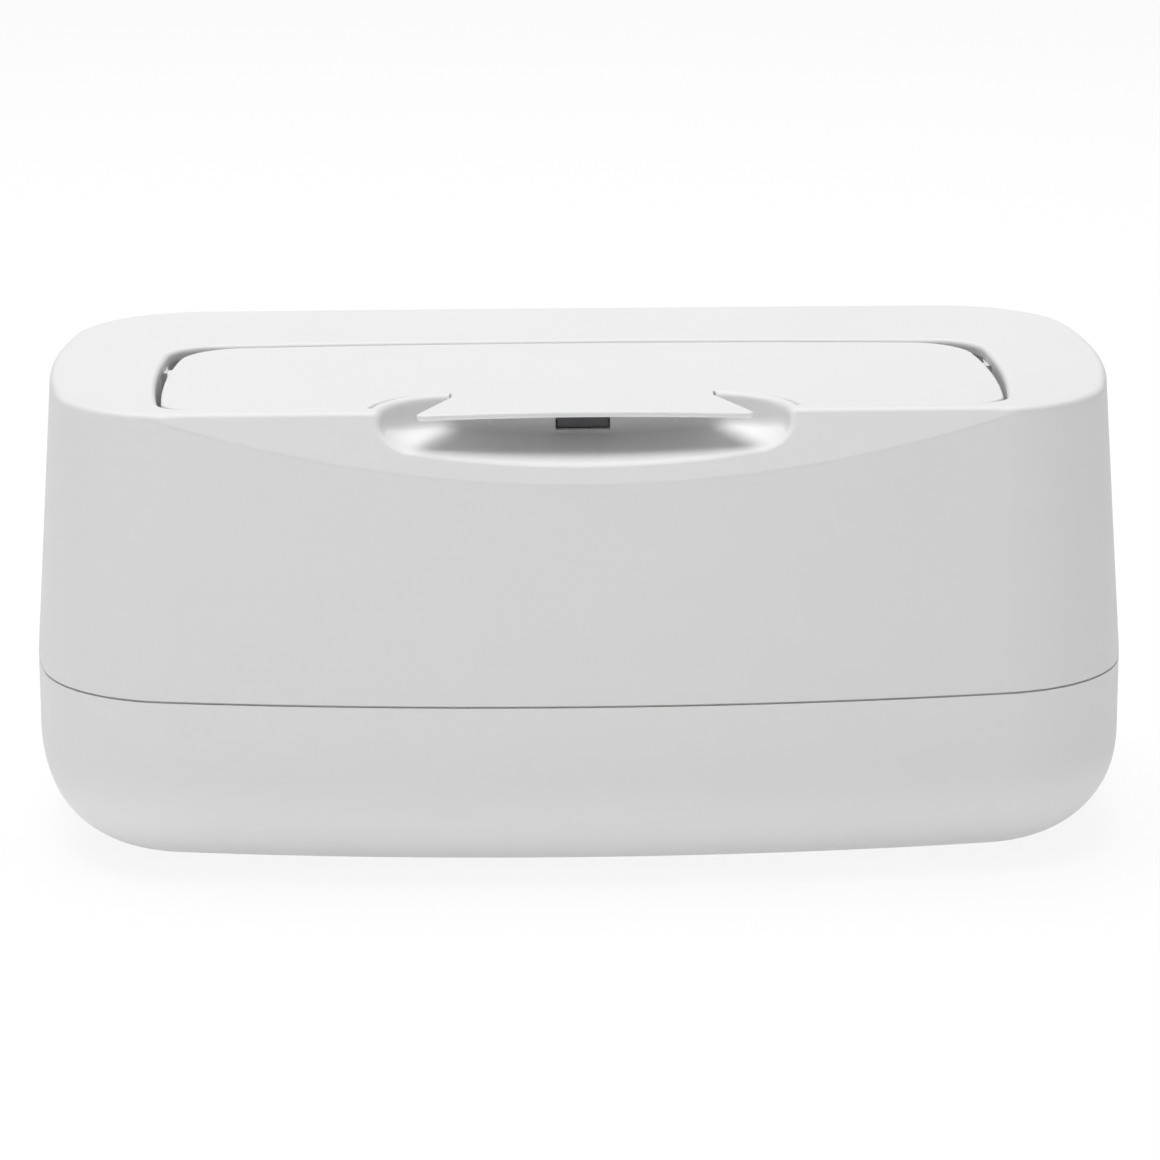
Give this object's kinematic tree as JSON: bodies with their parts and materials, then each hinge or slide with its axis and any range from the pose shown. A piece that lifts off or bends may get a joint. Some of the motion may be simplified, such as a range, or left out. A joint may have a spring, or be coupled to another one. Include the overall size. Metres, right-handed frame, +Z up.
{
  "type": "baby wipes box",
  "caption": "White baby wipes box: rounded base tray, drafted upper housing with a hinged flush lid, flared tongue over a finger recess, and a loose weighted press plate.",
  "frame": {"origin": "on the table under the middle of the box, at the underside of its feet", "axes": "+X along the length of the box, -Y towards the front with the tongue, +Z up"},
  "size_m": [0.235, 0.123, 0.099],
  "materials": {
    "shell_plastic": "white satin moulded plastic",
    "frame_plastic": "white moulded plastic, unpolished",
    "plate_plastic": "white satin moulded plastic",
    "button_plastic": "grey moulded plastic",
    "seal_rubber": "milky soft rubber",
    "outlet_rubber": "pale grey soft rubber",
    "foot_rubber": "grey soft rubber",
    "screw_steel": "zinc plated",
    "pin_steel": "ground bright",
    "spring_steel": "drawn bright wire",
    "weight_steel": "blanked sheet, oiled"
  },
  "bodies": {
    "base": {"base_tray": "shell_plastic", "base_seal": "seal_rubber", "foot_front_left": "foot_rubber", "foot_front_right": "foot_rubber", "foot_back_left": "foot_rubber", "foot_back_right": "foot_rubber"},
    "housing": {"upper_housing": "shell_plastic", "inner_frame": "frame_plastic", "frame_screws": "screw_steel", "hinge_pin_left": "pin_steel", "hinge_pin_right": "pin_steel", "button_guide": "frame_plastic", "button_spring": "spring_steel"},
    "button": {"release_button": "button_plastic"},
    "lid": {"lid_panel": "shell_plastic", "lid_liner": "frame_plastic", "lid_seal": "seal_rubber"},
    "press_plate": {"plate_shell": "plate_plastic", "plate_cover": "plate_plastic", "plate_weight": "weight_steel", "plate_outlet": "outlet_rubber"}
  },
  "joints": [
    {"name": "housing_lift", "type": "slide", "parent": "base", "child": "housing", "axis": [0, 0, 1], "range_m": [0, 0.11]},
    {"name": "lid_hinge", "type": "hinge", "parent": "housing", "child": "lid", "pos_m": [0, 0.0049, 0.093], "axis": [-1, 0, 0], "range_deg": [0, 100]},
    {"name": "button_press", "type": "slide", "parent": "housing", "child": "button", "axis": [0, 1, 0], "range_m": [0, 0.0016], "stiffness_N_per_m": 250, "deforming": ["button_spring"]},
    {"name": "press_plate_slide", "type": "slide", "parent": "base", "child": "press_plate", "axis": [0, 0, 1], "range_m": [0, 0.0615]}
  ]
}
